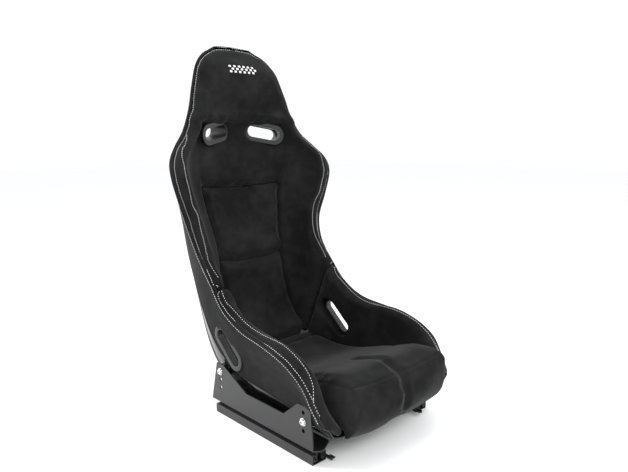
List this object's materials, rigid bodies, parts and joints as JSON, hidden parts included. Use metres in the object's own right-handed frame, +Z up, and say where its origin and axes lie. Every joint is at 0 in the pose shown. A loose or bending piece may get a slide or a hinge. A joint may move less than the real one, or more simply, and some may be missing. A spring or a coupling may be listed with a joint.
{
  "type": "racing bucket seat",
  "caption": "Fixed-back racing bucket seat with moulded shell, suede pads, harness openings, side brackets and sliding floor rails",
  "frame": {"origin": "centre of the floor bolt pattern, on the underside of the lower rails", "axes": "+Z up, the seat faces -Y, +X is the occupant's left"},
  "size_m": [0.5192, 0.6335, 0.8913],
  "materials": {
    "gelcoat": "gloss black gelcoat over glass fibre",
    "suede": "black microfibre suede with white top stitching",
    "bezel_plastic": "satin black moulded plastic",
    "powder_coat": "satin black powder coat",
    "zinc_steel": "bright zinc plate",
    "latch_steel": "black oxide",
    "bearing_steel": "polished",
    "cage_plastic": "natural nylon"
  },
  "bodies": {
    "floor_rails": {"lower_rail_left": "powder_coat", "lower_rail_right": "powder_coat"},
    "ball_races": {"ball_cage_left": "cage_plastic", "ball_cage_right": "cage_plastic", "bearing_balls_left": "bearing_steel", "bearing_balls_right": "bearing_steel"},
    "seat": {"back_bolster_left": "suede", "back_bolster_right": "suede", "captive_nuts": "zinc_steel", "centre_back_pad": "suede", "head_cover_rear": "suede", "head_pad": "suede", "hip_bezel_inner_left": "bezel_plastic", "hip_bezel_inner_right": "bezel_plastic", "hip_bezel_outer_left": "bezel_plastic", "hip_bezel_outer_right": "bezel_plastic", "latch_ears_left": "zinc_steel", "latch_ears_right": "zinc_steel", "latch_pin_left": "zinc_steel", "latch_pin_right": "zinc_steel", "latch_rivets": "zinc_steel", "latch_spring_left": "bearing_steel", "latch_spring_right": "bearing_steel", "lumbar_pad": "suede", "rear_trim_left": "suede", "rear_trim_right": "suede", "seat_cushion": "suede", "shell": "gelcoat", "shoulder_bezel_front_left": "bezel_plastic", "shoulder_bezel_front_right": "bezel_plastic", "shoulder_bezel_rear_left": "bezel_plastic", "shoulder_bezel_rear_right": "bezel_plastic", "shoulder_pad": "suede", "side_bolts": "zinc_steel", "side_bracket_left": "powder_coat", "side_bracket_right": "powder_coat", "side_washers": "zinc_steel", "slider_bolts": "zinc_steel", "slider_nuts": "zinc_steel", "thigh_bolster_left": "suede", "thigh_bolster_right": "suede", "upper_rail_left": "powder_coat", "upper_rail_right": "powder_coat"},
    "latch_left": {"latch_lever_left": "latch_steel"},
    "latch_right": {"latch_lever_right": "latch_steel"}
  },
  "joints": [
    {"name": "seat_slide", "type": "slide", "parent": "floor_rails", "child": "seat", "axis": [0, -1, 0], "range_m": [-0.08, 0.08]},
    {"name": "ball_race_travel", "type": "slide", "parent": "floor_rails", "child": "ball_races", "axis": [0, -1, 0], "range_m": [-0.04, 0.04]},
    {"name": "latch_left_turn", "type": "hinge", "parent": "seat", "child": "latch_left", "pos_m": [0.1515, -0.06, 0.0225], "axis": [0, 1, 0], "range_deg": [0, 12], "stiffness_Nm_per_rad": 0.6, "springref_deg": -8.59},
    {"name": "latch_right_turn", "type": "hinge", "parent": "seat", "child": "latch_right", "pos_m": [-0.1515, -0.06, 0.0225], "axis": [0, -1, 0], "range_deg": [0, 12], "stiffness_Nm_per_rad": 0.6, "springref_deg": -8.59}
  ],
  "couplings": [
    {"joint": "ball_race_travel", "follows": "seat_slide", "ratio": 0.5}
  ]
}
